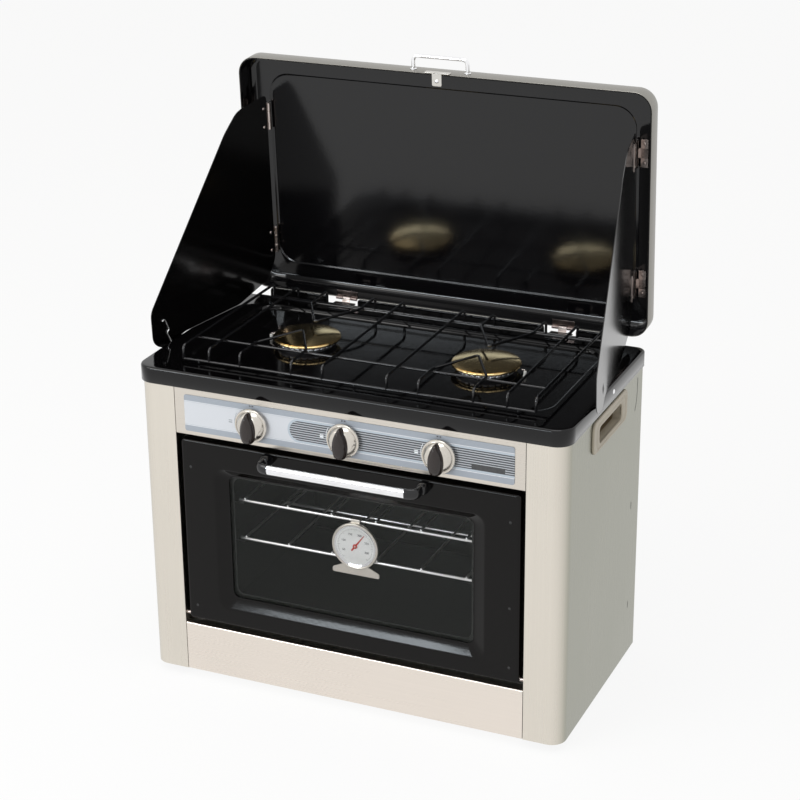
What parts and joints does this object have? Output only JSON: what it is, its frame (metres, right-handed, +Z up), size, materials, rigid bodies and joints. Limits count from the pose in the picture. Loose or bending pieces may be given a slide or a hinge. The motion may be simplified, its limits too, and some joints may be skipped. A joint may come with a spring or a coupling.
{
  "type": "camping stove with oven",
  "caption": "Freestanding gas camping cooker: pressed hob with wire pan support, folding lid and windshields, and a glazed drop-down oven door with racks.",
  "frame": {"origin": "centre of the overall footprint, at the height of the feet's undersides", "axes": "+Z up, +Y from the oven door to the back, +X to the viewer's right when facing the door"},
  "size_m": [0.5862, 0.3714, 0.7686],
  "materials": {
    "stainless": "warm bright stainless sheet",
    "stainless_side": "duller stainless sheet",
    "enamel": "gloss black enamel",
    "gloss_black": "gloss black plastic",
    "chrome": "bright chrome",
    "brass": "satin brass",
    "aluminium": "cast aluminium",
    "ceramic": "white glazed ceramic",
    "glass": "tinted oven glass",
    "rubber": "matt black rubber",
    "label": "printed label",
    "knob": "dark gloss grip on a silver skirt",
    "dial": "white dial in a steel case",
    "needle": "red",
    "beige": "moulded plastic",
    "galvanised": "galvanised steel sheet"
  },
  "bodies": {
    "root": {"side_panel_left": "stainless_side", "side_panel_right": "stainless_side", "kick_panel": "stainless", "control_panel": "stainless", "control_label": "label", "back_panel": "galvanised", "base_plate": "galvanised", "foot_1": "rubber", "foot_2": "rubber", "foot_3": "rubber", "foot_4": "rubber", "hob_plate": "enamel", "burner_left": "aluminium", "burner_right": "aluminium", "igniter_left": "ceramic", "igniter_right": "ceramic", "oven_liner": "galvanised", "oven_floor_plate": "enamel", "oven_burner_tube": "aluminium", "gas_manifold": "galvanised", "valve_1": "brass", "valve_2": "brass", "valve_3": "brass", "carry_handle_left": "beige", "carry_handle_right": "beige", "hob_hinge_left": "chrome", "hob_hinge_right": "chrome"},
    "door": {"door_outer": "enamel", "door_inner": "galvanised", "door_glass": "glass", "door_handle_bar": "chrome", "door_handle_bracket_left": "gloss_black", "door_handle_bracket_right": "gloss_black"},
    "lid": {"lid_shell": "stainless", "lid_liner": "enamel", "lid_handle": "chrome", "lid_catch": "stainless", "lid_hinge_left": "chrome", "lid_hinge_right": "chrome", "shield_hinge_left_1": "chrome", "shield_hinge_left_2": "chrome", "shield_hinge_right_1": "chrome", "shield_hinge_right_2": "chrome"},
    "windshield_left": {"windshield_left": "enamel"},
    "windshield_right": {"windshield_right": "enamel"},
    "cap_left": {"burner_cap_left": "brass"},
    "cap_right": {"burner_cap_right": "brass"},
    "support": {"pan_support": "enamel"},
    "rack_upper": {"oven_rack_upper": "chrome", "thermometer_case": "dial"},
    "needle": {"thermometer_needle": "needle"},
    "rack_lower": {"oven_rack_lower": "chrome"},
    "spindle_1": {"valve_spindle_1": "brass"},
    "knob_1": {"knob_1": "knob"},
    "spindle_2": {"valve_spindle_2": "brass"},
    "knob_2": {"knob_2": "knob"},
    "spindle_3": {"valve_spindle_3": "brass"},
    "knob_3": {"knob_3": "knob"}
  },
  "joints": [
    {"name": "door_open", "type": "hinge", "parent": "root", "child": "door", "pos_m": [0, -0.14651, 0.0895], "axis": [1, 0, 0], "range_deg": [0, 90]},
    {"name": "lid_lean_back", "type": "hinge", "parent": "root", "child": "lid", "pos_m": [0, 0.15099, 0.4305], "axis": [1, 0, 0], "range_deg": [-75, 0]},
    {"name": "windshield_left_swing", "type": "hinge", "parent": "lid", "child": "windshield_left", "pos_m": [-0.251, 0.17895, 0.43201], "axis": [0, 0.0541, -0.9985], "range_deg": [0, 30]},
    {"name": "windshield_right_swing", "type": "hinge", "parent": "lid", "child": "windshield_right", "pos_m": [0.251, 0.17895, 0.43201], "axis": [0, -0.0541, 0.9985], "range_deg": [0, 30]},
    {"name": "pan_support_lift", "type": "slide", "parent": "root", "child": "support", "axis": [0, 0, 1], "range_m": [0, 0.06]},
    {"name": "cap_left_lift", "type": "slide", "parent": "root", "child": "cap_left", "axis": [0, 0, 1], "range_m": [0, 0.006]},
    {"name": "cap_right_lift", "type": "slide", "parent": "root", "child": "cap_right", "axis": [0, 0, 1], "range_m": [0, 0.006]},
    {"name": "rack_upper_slide", "type": "slide", "parent": "root", "child": "rack_upper", "axis": [0, -1, 0], "range_m": [-0.0015, 0.0015]},
    {"name": "rack_lower_slide", "type": "slide", "parent": "root", "child": "rack_lower", "axis": [0, -1, 0], "range_m": [-0.008, 0.0015]},
    {"name": "needle_turn", "type": "hinge", "parent": "rack_upper", "child": "needle", "pos_m": [0.004, -0.13791, 0.2215], "axis": [0, 1, 0], "range_deg": [-120, 60]},
    {"name": "knob_1_push", "type": "slide", "parent": "root", "child": "spindle_1", "axis": [0, 1, 0], "range_m": [0, 0.0025], "stiffness_N_per_m": 500, "springref_m": -0.002},
    {"name": "knob_1_turn", "type": "hinge", "parent": "spindle_1", "child": "knob_1", "pos_m": [-0.123, -0.15251, 0.3695], "axis": [0, -1, 0], "range_deg": [0, 180]},
    {"name": "knob_2_push", "type": "slide", "parent": "root", "child": "spindle_2", "axis": [0, 1, 0], "range_m": [0, 0.0025], "stiffness_N_per_m": 500, "springref_m": -0.002},
    {"name": "knob_2_turn", "type": "hinge", "parent": "spindle_2", "child": "knob_2", "pos_m": [0, -0.15251, 0.3695], "axis": [0, -1, 0], "range_deg": [0, 180]},
    {"name": "knob_3_push", "type": "slide", "parent": "root", "child": "spindle_3", "axis": [0, 1, 0], "range_m": [0, 0.0025], "stiffness_N_per_m": 500, "springref_m": -0.002},
    {"name": "knob_3_turn", "type": "hinge", "parent": "spindle_3", "child": "knob_3", "pos_m": [0.123, -0.15251, 0.3695], "axis": [0, -1, 0], "range_deg": [0, 180]}
  ]
}
